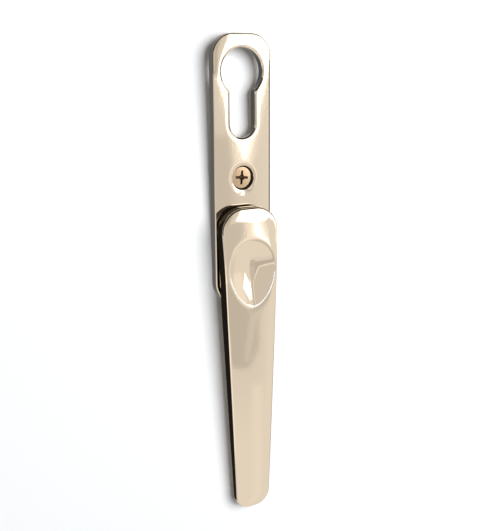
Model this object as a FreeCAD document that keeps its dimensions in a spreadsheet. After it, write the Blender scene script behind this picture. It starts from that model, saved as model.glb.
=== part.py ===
"""Slim lever handle with a euro cylinder cut-out, built as a parametric document.

Frame: X across the plate, Z up the plate, Y into the door or window leaf, so the handle
faces -Y. The origin is on the spindle axis, in the plane of the plate's back face.
"""
import FreeCAD, Part
import Sketcher
import math
import os

doc = FreeCAD.newDocument("slim_lever_handle")
sheet = doc.addObject("Spreadsheet::Sheet", "dims")

# Driving dimensions in millimetres. Depths are measured along Y from the back face of the
# plate: a "front" depth goes towards the hand (-Y), a "rear" depth goes into the leaf (+Y).
DIMENSIONS = {
    # backplate
    "plate_half_width": 12.7, "plate_top": 76.0, "plate_bottom": 28.3,
    "plate_thickness": 3.0, "plate_corner": 8.5, "plate_edge_round": 1.3,
    "cutout_head_z": 62.0, "cutout_head_radius": 9.0,
    "cutout_foot_z": 42.5, "cutout_half_width": 5.5, "cutout_lip_round": 0.5,
    "boss_radius": 11.0, "boss_length": 8.0, "boss_floor": 1.8,
    "bush_bore_radius": 8.2, "cavity_radius": 9.0, "seat_radius": 9.8, "seat_floor": 5.0,
    "notch_floor": 6.3, "notch_reach": 12.0,
    "peg_radius": 5.0, "peg_length": 5.0,
    # fixing screws, countersunk M5
    "screw_pitch_half": 21.5, "screw_recess_radius": 4.75, "screw_recess_depth": 1.2,
    "recess_ledge": 0.1,
    "screw_clearance_radius": 2.65, "screw_sunk": 1.0, "screw_head_radius": 4.4,
    "screw_head_rim": 0.15, "screw_shank_radius": 2.25, "screw_shank_end": 5.6,
    "screw_thread_radius": 2.5, "screw_end": 16.0, "screw_tip_chamfer": 0.8,
    "cross_half_length": 2.4, "cross_half_width": 0.5, "cross_depth": 2.0, "cross_turn": 5.0,
    # lever
    "lever_gap": 1.3, "lever_thickness": 5.4, "lever_top": 10.4, "lever_tip": 118.4,
    "lever_top_half_width": 12.9, "lever_tip_half_width": 7.7,
    "lever_head_corner": 9.4, "lever_tip_corner": 6.0, "lever_face_round": 0.7,
    "taper_start": 30.0, "taper_rise": 2.6,
    "dimple_z": 16.2, "dimple_half_width": 11.75, "dimple_half_height": 15.1,
    "dimple_ball_depth": 4.3, "dimple_ball_rise": 2.0,
    # hub on the back of the lever: a round journal, then the square that clicks
    "journal_radius": 7.0, "cam_half_width": 5.5, "cam_corner": 2.0, "cam_rear": 7.9,
    "socket_half_width": 3.53, "socket_front": 6.0, "hub_overlap": 0.5,
    # spindle and its cross pin
    "spindle_half_width": 3.5, "spindle_front": 5.9, "spindle_rear": 15.5,
    "spindle_chamfer": 0.4, "pin_radius": 0.98, "pin_hole_radius": 1.0,
    "pin_half_length": 5.3, "pin_depth": 3.4, "pin_chamfer": 0.24,
    # bush, washers, cover and springs
    "bush_inner_radius": 7.04, "bush_flange_radius": 9.2, "bush_flange": 0.7,
    "thrust_outer_radius": 9.0, "thrust_inner_radius": 7.1,
    "thrust_front": 4.2, "thrust_rear": 3.8,
    "cover_outer_radius": 9.7, "cover_inner_radius": 7.15, "cover_rear": 5.7,
    "wave_outer_radius": 9.0, "wave_inner_radius": 7.3,
    "wave_front": 5.8, "wave_rear": 6.2,
    "keeper_radius": 9.3, "keeper_front": 6.5, "keeper_rear": 7.4,
    "keeper_half_hole": 5.5, "tab_half_width": 2.0, "tab_reach": 10.8,
    "leaf_curve_radius": 15.8, "leaf_thickness": 0.5, "leaf_half_length": 5.4,
    "leaf_clearance": 0.03, "leaf_front": 2.2, "leaf_rear": 4.6,
    # motion
    "quarter_turn": 90.0, "stop_clearance": 1.0,
    # how far a cutting shape runs past the material that it cuts
    "overrun": 1.0,
}
for row, (alias, value) in enumerate(DIMENSIONS.items(), start=1):
    sheet.set("A%d" % row, alias)
    sheet.set("B%d" % row, str(value))
    sheet.setAlias("B%d" % row, alias)
doc.recompute()

FRONT_PLANE = "XZ_Plane"
LEAST_CHANGE = 1e-3     # mm3 that a pad, pocket, fillet or chamfer has to add or remove
sub_parts = []


def cells(expression):
    """Write an expression with every alias in it pointing at the sheet."""
    words = expression.replace("(", " ( ").replace(")", " ) ").split()
    return " ".join("dims.%s" % w if w in DIMENSIONS else w for w in words)


def value_of(expression):
    """The number that an expression of aliases comes to."""
    return float(sheet.evalExpression(cells(expression)))


def new_body(label):
    body = doc.addObject("PartDesign::Body", label)
    body.Label = label
    sub_parts.append(body)
    return body


def new_sketch(body, name, role=FRONT_PLANE, offset="0"):
    """A sketch on one of the body's own origin planes, moved along the plane's normal."""
    sketch = body.newObject("Sketcher::SketchObject", name)
    plane = next(f for f in body.Origin.OriginFeatures if f.Role == role)
    sketch.AttachmentSupport = [(plane, "")]
    sketch.MapMode = "FlatFace"
    sketch.setExpression("AttachmentOffset.Base.z", cells(offset))
    return sketch


def draw_circle(sketch, radius, height="0", across="0"):
    """A circle whose centre is at (across, height) of the sketch."""
    centre = FreeCAD.Vector(value_of(across), value_of(height), 0)
    index = sketch.addGeometry(Part.Circle(centre, FreeCAD.Vector(0, 0, 1), value_of(radius)))
    bind(sketch, Sketcher.Constraint("Radius", index, value_of(radius)), radius)
    bind_point(sketch, index, 3, across, height)


def bind(sketch, constraint, expression):
    """Add a dimension to a sketch and bind it to the sheet."""
    index = sketch.addConstraint(constraint)
    sketch.setExpression("Constraints[%d]" % index, cells(expression))


def bind_point(sketch, geometry, vertex, across, height):
    """Fix a point of the sketch at (across, height), each bound to the sheet."""
    for kind, expression in (("DistanceX", across), ("DistanceY", height)):
        number = value_of(expression)
        if expression == "0":
            on_axis = -2 if kind == "DistanceX" else -1
            sketch.addConstraint(Sketcher.Constraint("PointOnObject", geometry, vertex, on_axis))
        else:
            bind(sketch, Sketcher.Constraint(kind, -1, 1, geometry, vertex, number), expression)


def draw_polygon(sketch, corners):
    """A closed outline of straight lines through corners given as pairs of expressions."""
    points = [FreeCAD.Vector(value_of(a), value_of(b), 0) for a, b in corners]
    count = len(points)
    first = sketch.addGeometry(
        [Part.LineSegment(points[i], points[(i + 1) % count]) for i in range(count)])[0]
    for i in range(count):
        following = first + (i + 1) % count
        sketch.addConstraint(Sketcher.Constraint("Coincident", first + i, 2, following, 1))
    for i, (across, height) in enumerate(corners):
        bind_point(sketch, first + i, 1, across, height)


def draw_rectangle(sketch, left, right, low, high):
    draw_polygon(sketch, [(left, low), (right, low), (right, high), (left, high)])


def draw_rounded_square(sketch, half, corner):
    """A square of a given half-width whose corners are quarter circles."""
    size, radius = value_of(half), value_of(corner)
    for quarter in range(4):
        turn = FreeCAD.Rotation(FreeCAD.Vector(0, 0, 1), 90 * quarter)
        start = turn.multVec(FreeCAD.Vector(size, radius - size, 0))
        end = turn.multVec(FreeCAD.Vector(size, size - radius, 0))
        side = sketch.addGeometry(Part.LineSegment(start, end))
        centre = turn.multVec(FreeCAD.Vector(size - radius, size - radius, 0))
        circle = Part.Circle(centre, FreeCAD.Vector(0, 0, 1), radius)
        angle = math.radians(90 * quarter)
        arc = sketch.addGeometry(Part.ArcOfCircle(circle, angle, angle + math.pi / 2))
        for vertex, point in ((1, start), (2, end)):
            expressions = []
            for number in (point.x, point.y):
                sign = "" if number > 0 else "0 - "
                whole = near(abs(number), half)
                expressions.append(sign + (half if whole else "( %s - %s )" % (half, corner)))
            bind_point(sketch, side, vertex, *expressions)
        sketch.addConstraint(Sketcher.Constraint("Coincident", side, 2, arc, 1))
        bind(sketch, Sketcher.Constraint("Radius", arc, radius), corner)
    for quarter in range(4):
        following = (2 * quarter + 2) % 8
        sketch.addConstraint(Sketcher.Constraint("Coincident", 2 * quarter + 1, 2, following, 1))


def add_feature(body, kind, name, sketch, length, backwards=False, both_sides=False):
    """Pad or pocket a sketch by a length bound to the sheet, and check that it did something."""
    before = body.Shape.Volume if body.Tip else 0.0
    feature = body.newObject("PartDesign::" + kind, name)
    feature.Profile = sketch
    feature.setExpression("Length", cells(length))
    feature.Reversed = backwards
    if both_sides:
        feature.Midplane = True
    doc.recompute()
    change = feature.Shape.Volume - before
    if (kind == "Pad") != (change > 0) or abs(change) < LEAST_CHANGE:
        raise RuntimeError("%s %s changed the volume by %.4f" % (kind, name, change))
    return feature


def edges_where(feature, test):
    """Names of the feature's edges whose points all pass a test."""
    names = []
    for index, edge in enumerate(feature.Shape.Edges, start=1):
        span = edge.ParameterRange
        points = [edge.valueAt(span[0] + (span[1] - span[0]) * share)
                  for share in (0.0, 0.3, 0.5, 0.7, 1.0)]
        if all(test(p) for p in points):
            names.append("Edge%d" % index)
    if not names:
        raise RuntimeError("no edges found on " + feature.Name)
    return names


def dress(body, kind, name, base, edges, size):
    """Fillet or chamfer named edges by a size bound to the sheet."""
    feature = body.newObject("PartDesign::" + kind, name)
    feature.Base = (base, edges)
    feature.setExpression("Radius" if kind == "Fillet" else "Size", cells(size))
    doc.recompute()
    if "Invalid" in feature.State or abs(feature.Shape.Volume - base.Shape.Volume) < LEAST_CHANGE:
        raise RuntimeError("%s %s did nothing" % (kind, name))
    return feature


def near(number, expression, within=0.02):
    return abs(number - value_of(expression)) < within


def add_ring(label, outer, inner, near_depth, far_depth):
    """A flat ring about the spindle axis between two depths along +Y."""
    cylinders = []
    for part, radius, low, high in (("rim", outer, near_depth, far_depth),
                                    ("hole", inner, near_depth + " - overrun",
                                     far_depth + " + overrun")):
        cylinder = doc.addObject("Part::Cylinder", "%s_%s" % (label, part))
        cylinder.setExpression("Radius", cells(radius))
        cylinder.setExpression("Height", cells("( %s ) - ( %s )" % (high, low)))
        cylinder.Placement.Rotation = FreeCAD.Rotation(FreeCAD.Vector(1, 0, 0), -90)
        cylinder.setExpression("Placement.Base.y", cells(low))
        cylinders.append(cylinder)
    ring = doc.addObject("Part::Cut", label)
    ring.Base, ring.Tool = cylinders
    ring.Label = label
    sub_parts.append(ring)
    return ring


def build_backplate():
    """Cast plate: slim front, boss behind the spindle, and a peg behind each screw."""
    body = new_body("backplate")
    outline = new_sketch(body, "plate_outline")
    draw_rectangle(outline, "0 - plate_half_width",
                   "plate_half_width", "0 - plate_bottom", "plate_top")
    slab = add_feature(body, "Pad", "plate_slab", outline, "plate_thickness")
    corners = edges_where(slab, lambda p: near(abs(p.x), "plate_half_width")
                          and (near(p.z, "plate_top") or near(p.z, "0 - plate_bottom")))
    rounded = dress(body, "Fillet", "plate_corners", slab, corners, "plate_corner")
    front = edges_where(rounded, lambda p: near(p.y, "0 - plate_thickness"))
    dress(body, "Fillet", "plate_front_edge", rounded, front, "plate_edge_round")

    boss = new_sketch(body, "boss_circle")
    draw_circle(boss, "boss_radius")
    add_feature(body, "Pad", "boss", boss, "boss_length", backwards=True)
    for side, height in (("upper", "screw_pitch_half"), ("lower", "0 - screw_pitch_half")):
        peg = new_sketch(body, side + "_peg_circle")
        draw_circle(peg, "peg_radius", height)
        add_feature(body, "Pad", side + "_peg", peg, "peg_length", backwards=True)

    for name, radius, floor in (("bush_bore", "bush_bore_radius", "0 - plate_thickness - overrun"),
                                ("spring_cavity", "cavity_radius", "boss_floor"),
                                ("cover_seat", "seat_radius", "seat_floor")):
        circle = new_sketch(body, name + "_circle", offset="0 - ( %s )" % floor)
        draw_circle(circle, radius)
        add_feature(body, "Pocket", name, circle, "boss_length - ( %s ) + overrun" % floor)

    # The rear rim is cut away over the arc that the keeper's tab swings through.
    half_arc = math.degrees(math.asin(value_of("tab_half_width") / value_of("tab_reach")))
    open_angle = math.radians(value_of("quarter_turn + stop_clearance") + half_arc)
    notch = new_sketch(body, "stop_notch_outline", offset="0 - notch_floor")
    stop_x = "notch_reach * %.6f" % math.sin(open_angle)
    stop_z = "notch_reach * %.6f" % math.cos(open_angle)
    draw_polygon(notch, [("0", "0"), (stop_x, stop_z), ("notch_reach", "notch_reach"),
                         ("0 - notch_reach", "notch_reach"), ("0 - " + stop_x, stop_z)])
    add_feature(body, "Pocket", "stop_notch", notch, "boss_length - notch_floor + overrun")

    for side, height in (("upper", "screw_pitch_half"), ("lower", "0 - screw_pitch_half")):
        recess = new_sketch(body, side + "_screw_recess_circle",
                            offset="plate_thickness - screw_recess_depth")
        draw_circle(recess, "screw_recess_radius", height)
        add_feature(body, "Pocket", side + "_screw_recess", recess,
                    "screw_recess_depth + overrun", backwards=True)
        clearance = new_sketch(body, side + "_screw_hole_circle",
                               offset="plate_thickness + overrun")
        draw_circle(clearance, "screw_clearance_radius", height)
        hole = add_feature(body, "Pocket", side + "_screw_hole", clearance,
                           "plate_thickness + peg_length + 2 * overrun")
        ledge = edges_where(hole, lambda p: near(p.y, "screw_recess_depth - plate_thickness")
                            and near(math.hypot(p.x, p.z - value_of(height)),
                                     "screw_clearance_radius"))
        dress(body, "Chamfer", side + "_countersink", hole, ledge,
              "screw_recess_radius - screw_clearance_radius - recess_ledge")

    head = new_sketch(body, "cutout_head_circle", offset="plate_thickness + overrun")
    draw_circle(head, "cutout_head_radius", "cutout_head_z")
    add_feature(body, "Pocket", "cutout_head", head, "plate_thickness + 2 * overrun")
    slot = new_sketch(body, "cutout_slot_outline", offset="plate_thickness + overrun")
    draw_rectangle(slot, "0 - cutout_half_width", "cutout_half_width",
                   "cutout_foot_z", "cutout_head_z")
    add_feature(body, "Pocket", "cutout_slot", slot, "plate_thickness + 2 * overrun")
    foot = new_sketch(body, "cutout_foot_circle", offset="plate_thickness + overrun")
    draw_circle(foot, "cutout_half_width", "cutout_foot_z")
    opened = add_feature(body, "Pocket", "cutout_foot", foot, "plate_thickness + 2 * overrun")
    lip = edges_where(opened, lambda p: near(p.y, "0 - plate_thickness")
                      and p.z > value_of("screw_pitch_half + 2 * screw_recess_radius")
                      and abs(p.x) < value_of("cutout_head_radius + overrun")
                      and p.z < value_of("cutout_head_z + cutout_head_radius + overrun"))
    dress(body, "Fillet", "cutout_lip", opened, lip, "cutout_lip_round")


def build_lever():
    """Cast lever with a thumb dimple, a journal, a square cam and a spindle socket."""
    body = new_body("lever")
    outline = new_sketch(body, "lever_outline", offset="plate_thickness + lever_gap")
    draw_polygon(outline, [("0 - lever_tip_half_width", "0 - lever_tip"),
                           ("lever_tip_half_width", "0 - lever_tip"),
                           ("lever_top_half_width", "lever_top"),
                           ("0 - lever_top_half_width", "lever_top")])
    slab = add_feature(body, "Pad", "lever_slab", outline, "lever_thickness")
    for end, height, half, corner in (
            ("head", "lever_top", "lever_top_half_width", "lever_head_corner"),
            ("tip", "0 - lever_tip", "lever_tip_half_width", "lever_tip_corner")):
        edges = edges_where(slab, lambda p: near(p.z, height) and near(abs(p.x), half))
        slab = dress(body, "Fillet", "lever_%s_corners" % end, slab, edges, corner)

    # The back rises away from the plate towards the tip, so fingers get behind the lever.
    wedge = new_sketch(body, "back_taper_outline", role="YZ_Plane")
    back = "0 - plate_thickness - lever_gap"
    draw_polygon(wedge, [(back, "0 - taper_start"),
                         (back + " - taper_rise", "0 - lever_tip"),
                         (back + " - taper_rise", "0 - lever_tip - overrun"),
                         ("0", "0 - lever_tip - overrun"), ("0", "0 - taper_start")])
    tapered = add_feature(body, "Pocket", "back_taper", wedge, "4 * lever_top_half_width",
                          both_sides=True)
    face = edges_where(tapered, lambda p: near(p.y, "0 - plate_thickness - lever_gap"
                                               " - lever_thickness"))
    dress(body, "Fillet", "face_edge", tapered, face, "lever_face_round")

    journal = new_sketch(body, "journal_circle", offset="0 - boss_floor")
    draw_circle(journal, "journal_radius")
    add_feature(body, "Pad", "journal", journal,
                "boss_floor + plate_thickness + lever_gap + hub_overlap")
    square = new_sketch(body, "cam_square", offset="0 - cam_rear")
    draw_rounded_square(square, "cam_half_width", "cam_corner")
    add_feature(body, "Pad", "cam", square, "cam_rear - boss_floor + hub_overlap")

    socket = new_sketch(body, "socket_square", offset="socket_front")
    draw_rectangle(socket, "0 - socket_half_width", "socket_half_width",
                   "0 - socket_half_width", "socket_half_width")
    add_feature(body, "Pocket", "socket", socket, "socket_front + cam_rear + overrun")
    pin = new_sketch(body, "pin_hole_circle", role="XY_Plane")
    draw_circle(pin, "pin_hole_radius", height="pin_depth")
    add_feature(body, "Pocket", "pin_hole", pin, "4 * cam_half_width", both_sides=True)

    bowl = body.newObject("PartDesign::SubtractiveEllipsoid", "thumb_dimple")
    plane = next(f for f in body.Origin.OriginFeatures if f.Role == FRONT_PLANE)
    bowl.AttachmentSupport = [(plane, "")]
    bowl.MapMode = "FlatFace"
    bowl.setExpression("AttachmentOffset.Base.y", cells("0 - dimple_z"))
    bowl.setExpression("AttachmentOffset.Base.z", cells(
        "plate_thickness + lever_gap + lever_thickness + dimple_ball_rise"))
    bowl.setExpression("Radius1", cells("dimple_ball_depth"))
    bowl.setExpression("Radius2", cells("dimple_half_width"))
    bowl.setExpression("Radius3", cells("dimple_half_height"))
    bowl.Angle1, bowl.Angle2, bowl.Angle3 = -90, 90, 360
    doc.recompute()


def build_spindle():
    """Square steel bar that carries the turn into the lock or gearbox."""
    body = new_body("spindle")
    section = new_sketch(body, "spindle_square", offset="0 - spindle_rear")
    draw_rectangle(section, "0 - spindle_half_width", "spindle_half_width",
                   "0 - spindle_half_width", "spindle_half_width")
    bar = add_feature(body, "Pad", "bar", section, "spindle_rear + spindle_front")
    ends = edges_where(bar, lambda p: near(p.y, "spindle_rear") or near(p.y, "0 - spindle_front"))
    dress(body, "Chamfer", "bar_ends", bar, ends, "spindle_chamfer")
    pin = new_sketch(body, "spindle_pin_hole_circle", role="XY_Plane")
    draw_circle(pin, "pin_hole_radius", height="pin_depth")
    add_feature(body, "Pocket", "spindle_pin_hole", pin, "4 * spindle_half_width",
                both_sides=True)


def build_spindle_pin():
    """Cross pin through the cam and the spindle."""
    body = new_body("spindle_pin")
    circle = new_sketch(body, "pin_circle", role="XY_Plane")
    draw_circle(circle, "pin_radius", height="pin_depth")
    pin = add_feature(body, "Pad", "pin", circle, "2 * pin_half_length", both_sides=True)
    ends = edges_where(pin, lambda p: near(abs(p.z), "pin_half_length"))
    dress(body, "Chamfer", "pin_ends", pin, ends, "pin_chamfer")


def build_pivot_bush():
    """Flanged nylon bush pressed into the plate from the front."""
    body = new_body("pivot_bush")
    flange = new_sketch(body, "bush_flange_circle", offset="plate_thickness")
    draw_circle(flange, "bush_flange_radius")
    add_feature(body, "Pad", "bush_flange_disc", flange, "bush_flange")
    sleeve = new_sketch(body, "bush_sleeve_circle", offset="0 - boss_floor")
    draw_circle(sleeve, "bush_bore_radius")
    add_feature(body, "Pad", "bush_sleeve", sleeve,
                "boss_floor + plate_thickness + bush_flange / 2")
    bore = new_sketch(body, "bush_inner_circle", offset="plate_thickness + bush_flange + overrun")
    draw_circle(bore, "bush_inner_radius")
    add_feature(body, "Pocket", "bush_inner", bore,
                "plate_thickness + bush_flange + boss_floor + 2 * overrun")


def build_keeper():
    """Square-holed steel washer behind the plate; its tab meets the stops of the notch."""
    body = new_body("keeper_washer")
    disc = new_sketch(body, "keeper_circle", offset="0 - keeper_rear")
    draw_circle(disc, "keeper_radius")
    add_feature(body, "Pad", "keeper_disc", disc, "keeper_rear - keeper_front")
    tab = new_sketch(body, "tab_outline", offset="0 - keeper_rear")
    draw_rectangle(tab, "0 - tab_half_width", "tab_half_width",
                   "keeper_half_hole + overrun", "tab_reach")
    add_feature(body, "Pad", "stop_tab", tab, "keeper_rear - keeper_front")
    hole = new_sketch(body, "keeper_hole_outline", offset="0 - keeper_rear - overrun")
    draw_rounded_square(hole, "keeper_half_hole", "cam_corner")
    add_feature(body, "Pocket", "keeper_hole", hole, "keeper_rear - keeper_front + 2 * overrun",
                backwards=True)


def build_click_spring(side, sign):
    """Bowed leaf spring that bears on one flat of the cam."""
    label = "click_spring_" + side
    bow = "cam_half_width + leaf_clearance + leaf_curve_radius"
    solids = []
    for part, radius in (("outer_bow", "leaf_curve_radius"),
                         ("inner_bow", "leaf_curve_radius - leaf_thickness")):
        cylinder = doc.addObject("Part::Cylinder", "%s_%s" % (label, part))
        cylinder.setExpression("Radius", cells(radius))
        cylinder.setExpression("Height", cells("leaf_rear - leaf_front"))
        cylinder.Placement.Rotation = FreeCAD.Rotation(FreeCAD.Vector(1, 0, 0), -90)
        cylinder.setExpression("Placement.Base.x", cells("%d * ( %s )" % (sign, bow)))
        cylinder.setExpression("Placement.Base.y", cells("leaf_front"))
        solids.append(cylinder)
    shell = doc.addObject("Part::Cut", label + "_shell")
    shell.Base, shell.Tool = solids
    window = doc.addObject("Part::Box", label + "_window")
    window.setExpression("Length", cells("cam_half_width"))
    window.setExpression("Width", cells("leaf_rear - leaf_front"))
    window.setExpression("Height", cells("2 * leaf_half_length"))
    left_edge = "cam_half_width" if sign > 0 else "0 - 2 * cam_half_width"
    window.setExpression("Placement.Base.x", cells(left_edge))
    window.setExpression("Placement.Base.y", cells("leaf_front"))
    window.setExpression("Placement.Base.z", cells("0 - leaf_half_length"))
    leaf = doc.addObject("Part::Common", label)
    leaf.Base, leaf.Tool = shell, window
    leaf.Label = label
    sub_parts.append(leaf)


def build_fixing_screw(label, height):
    """Countersunk M5 screw with a cross recess, a reduced shank and a threaded end."""
    body = new_body(label)
    profile = new_sketch(body, label + "_profile", role="YZ_Plane")
    top = "screw_sunk - plate_thickness"
    cone_end = top + " + screw_head_rim + screw_head_radius - screw_shank_radius"
    draw_polygon(profile, [
        (top, "0"), (top, "screw_head_radius"), (top + " + screw_head_rim", "screw_head_radius"),
        (cone_end, "screw_shank_radius"), ("screw_shank_end", "screw_shank_radius"),
        ("screw_shank_end + screw_thread_radius - screw_shank_radius", "screw_thread_radius"),
        ("screw_end - screw_tip_chamfer", "screw_thread_radius"),
        ("screw_end", "screw_thread_radius - screw_tip_chamfer"), ("screw_end", "0")])
    turned = body.newObject("PartDesign::Revolution", label + "_turned")
    turned.Profile = profile
    turned.ReferenceAxis = (profile, ["H_Axis"])
    turned.Angle = 360
    doc.recompute()
    cross = new_sketch(body, label + "_cross", offset="plate_thickness - screw_sunk - cross_depth")
    arm, half = "cross_half_length", "cross_half_width"
    draw_polygon(cross, [
        (arm, "0 - " + half), (arm, half), (half, half), (half, arm),
        ("0 - " + half, arm), ("0 - " + half, half), ("0 - " + arm, half),
        ("0 - " + arm, "0 - " + half), ("0 - " + half, "0 - " + half),
        ("0 - " + half, "0 - " + arm), (half, "0 - " + arm), (half, "0 - " + half)])
    add_feature(body, "Pocket", label + "_recess", cross, "cross_depth + overrun", backwards=True)
    body.Placement = FreeCAD.Placement(
        FreeCAD.Vector(0, 0, value_of(height)),
        FreeCAD.Rotation(FreeCAD.Vector(0, 1, 0), value_of("cross_turn")))


def check_document():
    """Stop if anything in the document failed or any sub-part isn't a sound solid."""
    doc.recompute()
    for item in doc.Objects:
        if "Invalid" in item.State or "Error" in item.State:
            raise RuntimeError("failed object: " + item.Name)
    for item in sub_parts:
        shape = item.Shape
        if shape.isNull() or not shape.isValid() or not shape.Solids:
            raise RuntimeError("unsound shape: " + item.Label)


def write_parts():
    os.makedirs("parts", exist_ok=True)
    for item in sub_parts:
        item.Shape.exportStep("parts/%s.step" % item.Label)
        print("%-24s %8.1f mm3  %d solid" % (item.Label, item.Shape.Volume,
                                            len(item.Shape.Solids)))


build_backplate()
build_lever()
build_spindle()
build_spindle_pin()
build_pivot_bush()
add_ring("thrust_washer", "thrust_outer_radius", "thrust_inner_radius",
         "0 - thrust_front", "0 - thrust_rear")
build_click_spring("left", -1)
build_click_spring("right", 1)
add_ring("spring_cover", "cover_outer_radius", "cover_inner_radius", "seat_floor", "cover_rear")
add_ring("wave_washer", "wave_outer_radius", "wave_inner_radius", "wave_front", "wave_rear")
build_keeper()
build_fixing_screw("fixing_screw_upper", "screw_pitch_half")
build_fixing_screw("fixing_screw_lower", "0 - screw_pitch_half")
check_document()
write_parts()
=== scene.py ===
"""Looks for the slim lever handle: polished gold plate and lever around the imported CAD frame.

Outlines are worked out in millimetres in the frame's own axes (x right, z up, front towards -y)
and turned into metres when a mesh is made.
"""

import math

import bpy
import numpy as np
from mathutils import Matrix, Vector
from mathutils.geometry import delaunay_2d_cdt


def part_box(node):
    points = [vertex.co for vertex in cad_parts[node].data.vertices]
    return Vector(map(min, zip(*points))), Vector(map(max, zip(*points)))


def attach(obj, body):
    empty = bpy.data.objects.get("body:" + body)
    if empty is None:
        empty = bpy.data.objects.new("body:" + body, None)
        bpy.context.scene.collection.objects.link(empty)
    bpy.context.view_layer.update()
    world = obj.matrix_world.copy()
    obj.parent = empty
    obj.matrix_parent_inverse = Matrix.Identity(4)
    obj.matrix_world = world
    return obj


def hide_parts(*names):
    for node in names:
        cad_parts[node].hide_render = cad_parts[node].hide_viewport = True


MM = 0.001
SLOPE_STEP = 1e-3       # step in mm over which a surface's slope is measured
WELD_DIGITS = 4         # points that agree to this many decimals of a mm are one
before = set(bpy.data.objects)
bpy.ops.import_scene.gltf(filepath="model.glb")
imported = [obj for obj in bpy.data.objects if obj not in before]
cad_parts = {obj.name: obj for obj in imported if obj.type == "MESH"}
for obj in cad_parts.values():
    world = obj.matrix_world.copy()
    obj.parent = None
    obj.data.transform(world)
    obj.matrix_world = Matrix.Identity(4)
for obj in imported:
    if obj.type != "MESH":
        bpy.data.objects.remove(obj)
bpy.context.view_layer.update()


# ---------------------------------------------------------------- sizes in mm, placed on the frame

def box_mm(node):
    """A node's lowest and highest corners in millimetres."""
    low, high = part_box(node)
    return np.array(low) / MM, np.array(high) / MM


plate_low, plate_high = box_mm("backplate")
lever_low, lever_high = box_mm("lever")
screw_low, screw_high = box_mm("fixing_screw_upper")

# Backplate. A bevel is (width, depth), and a soft roll-off or a dish is (depth, width).
PLATE_HALF = plate_high[0]
PLATE_TOP = plate_high[2]
PLATE_BOTTOM = plate_low[2]
PLATE_FRONT = plate_low[1]
PLATE_CORNER = 8.5
PLATE_ROUND = 0.15
PLATE_BEVEL = (0.45, 0.2)
PLATE_SOFT = (0.10, 6.0)
SOFT_START = 59.0       # the roll-off beside the outline begins at this height
SOFT_FADE = 4.0
LEFT_END = 7.0          # left of this the outline counts as the left side
SIDE_FADE = 6.0
RIGHT_BEVEL_SCALE = 2.1
RIGHT_BEVEL_TOP = PLATE_TOP - PLATE_CORNER + 2

# Euro cut-out: a round head over a round-ended slot
CUT_HEAD_Z = 62.0
CUT_HEAD_R = 9.0
CUT_FOOT_Z = 42.5
CUT_SLOT_R = 5.5
CUT_LIP = 0.1
CUT_BEVEL = (0.7, 0.31)
CUTOUT_SOFT = (0.05, 2.4)
NECK_BLEND = 0.05       # how far the head and slot blend into each other
SOFT_NECK_BLEND = 2.0   # the same for the roll-off round them
EXACT = 1e-6            # a blend so small that the neck's corners stay sharp

# Screw recesses. Below each, a crescent of the face slopes away towards it.
SCREW_Z = (screw_low[2] + screw_high[2]) / 2
SCREW_CENTRES = (SCREW_Z, -SCREW_Z)
RECESS_R = 4.75
RECESS_DEPTH = 1.2
RECESS_LIP = 0.2
RECESS_DISH = (0.03, 1.8)
RECESS_LEDGE = 0.1
SCREW_HOLE_R = 2.65
PEG_END = 5.0
CRESCENT_DOWN = 2.0
CRESCENT_R = 5.1
CRESCENT_SLOPE = 0.072
CRESCENT_START = 0.3

BUSH_BORE_R = 8.2
HUB_R = 7.02

# How far in from each edge its rings of points reach, and the half-width of a crease's pair
PLATE_RINGS = 4.0
CUTOUT_RINGS = 3.4
RECESS_RINGS = 2.4
LEVER_RINGS = 4.0
BACK_RINGS = 3.0
CREASE = 0.03

# Lever: the hull of two head circles and two tip circles, its lower end bowed
LEVER_FRONT = lever_low[1]
LEVER_TOP = lever_high[2]
LEVER_TIP = lever_low[2]
LEVER_BACK = PLATE_FRONT - 1.3
HEAD_R = 9.6
HEAD_X = 2.95
TIP_R = 5.9
TIP_X = 2.1
TIP_BOW = 0.5
TIP_BOW_HALF = 6.5
TIP_BOW_REACH = 9.0
LEVER_ROUND = 0.25
LEVER_BACK_ROUND = 0.35
LEVER_BEVEL = (0.6, 0.36)
SIDE_SOFT = (0.10, 4.5)
SIDE_CROWN = 0.07
TAPER_START = -30.0
TAPER_RISE = 2.6
LEVER_GRID_HALF = 13

# Lever's front face: a ramp is (reach, slope), and the roll is (start, curvature)
HEAD_RAMP_START = -22.0
HEAD_RAMP = (18.0, 0.0695)
HEAD_ROLL = (-3.4, -0.0014)
HEAD_KNEE_START = 4.2
HEAD_KNEE = (2.5, 0.075)
LEVER_LEAN = -0.0032

# Thumb dimple
DIMPLE_X = 0.25
DIMPLE_Z = -14.5
DIMPLE_HALF = 10.4
DIMPLE_UP = 11.6
DIMPLE_DOWN = 15.1
DIMPLE_DEPTH = 2.3
DIMPLE_POWERS = (1.6, 1.9)      # below its middle, how full the left and right of the egg are
RIM_BLEND = 0.09
RIM_SHARES = (1.17, 1.11, 1.07, *np.linspace(1.045, 0.955, 11))
BOWL_SHARES = np.linspace(0.93, 0.08, 26)

# Painted light on the lever: a painted highlight as a near-white line along the dimple's lower rim, and
# a painted shade as a dark disc behind the hub
RIM_HIGHLIGHT_BAND = 0.016
RIM_HIGHLIGHT_TOP = DIMPLE_Z - 2.0
RIM_HIGHLIGHT_DEPTH = 1.0
BACK_SHADE_R = 12.2
BACK_SHADE_DEPTH = 0.6

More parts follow.
